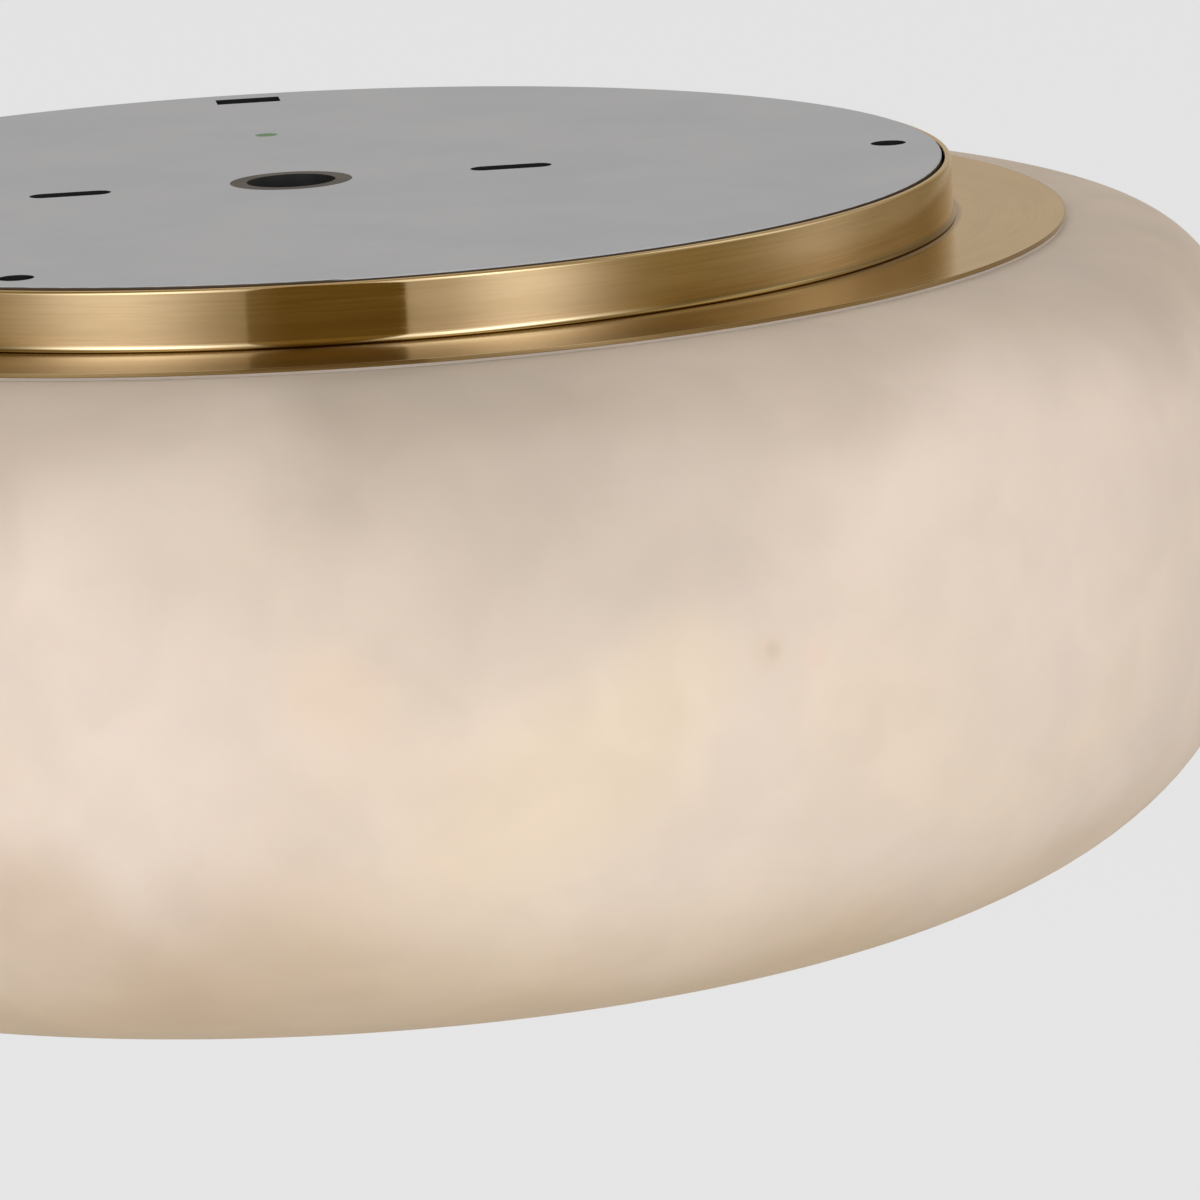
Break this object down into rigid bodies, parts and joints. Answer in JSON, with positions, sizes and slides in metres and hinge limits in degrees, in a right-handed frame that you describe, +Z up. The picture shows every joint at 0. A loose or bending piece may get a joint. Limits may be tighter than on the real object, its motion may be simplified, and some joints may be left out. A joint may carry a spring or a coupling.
{
  "type": "flush mount ceiling light",
  "caption": "Flush mount ceiling light: thick alabaster bowl under a brass flange and band, twist locked to a flat steel ceiling plate.",
  "frame": {"origin": "centre of the ceiling plate, on its ceiling face", "axes": "+Z up towards the ceiling, X along the outlet box slots, lock screw on +Y"},
  "size_m": [0.343, 0.343, 0.136],
  "materials": {
    "plate_paint": "matt grey paint",
    "brushed_brass": "satin, brushed round the axis",
    "plain_brass": "machined",
    "alabaster": "honed alabaster with soft clouds",
    "zinc_steel": "zinc plated",
    "green_metal": "green dyed zinc",
    "pan_aluminium": "spun, bare",
    "board_white": "white solder mask on aluminium",
    "emitter_yellow": "phosphor",
    "opal_acrylic": "opal satin",
    "white_plastic": "moulded",
    "block_plastic": "moulded",
    "black_plastic": "moulded",
    "dark_rubber": "matt",
    "pale_silicone": "matt, cast clear to pale",
    "lead_dark": "insulation",
    "lead_green": "insulation"
  },
  "bodies": {
    "ceiling_plate": {"mounting_plate": "plate_paint", "wire_bushing": "black_plastic", "hanger_studs": "zinc_steel", "ground_screw": "green_metal", "ground_washer": "zinc_steel"},
    "fixture_body": {"canopy_band": "brushed_brass", "shade_flange": "brushed_brass", "shade_gasket": "pale_silicone", "carrier_ring": "zinc_steel", "alabaster_shade": "alabaster", "stone_inserts": "plain_brass", "shade_washers": "zinc_steel", "shade_screws": "zinc_steel", "standoffs": "zinc_steel", "led_pan": "pan_aluminium", "engine_screws": "zinc_steel", "led_board": "board_white", "led_emitters": "emitter_yellow", "board_screws": "zinc_steel", "diffuser": "opal_acrylic", "diffuser_screws": "zinc_steel", "led_driver": "white_plastic", "driver_screws": "zinc_steel", "terminal_block": "block_plastic", "block_screws": "zinc_steel", "terminal_screws": "plain_brass", "mains_leads": "lead_dark", "earth_lead": "lead_green", "earth_tag": "plain_brass", "earth_screw": "zinc_steel", "led_leads": "lead_dark", "lead_grommet": "dark_rubber", "lock_bush": "plain_brass"},
    "lock_screw": {"lock_screw": "brushed_brass"}
  },
  "joints": [
    {"name": "body_twist", "type": "hinge", "parent": "ceiling_plate", "child": "fixture_body", "pos_m": [0, 0, -0.0097], "axis": [0, 0, -1], "range_deg": [0, 12]},
    {"name": "lock_screw_out", "type": "slide", "parent": "fixture_body", "child": "lock_screw", "axis": [0, 1, 0], "range_m": [0, 0.003]}
  ]
}
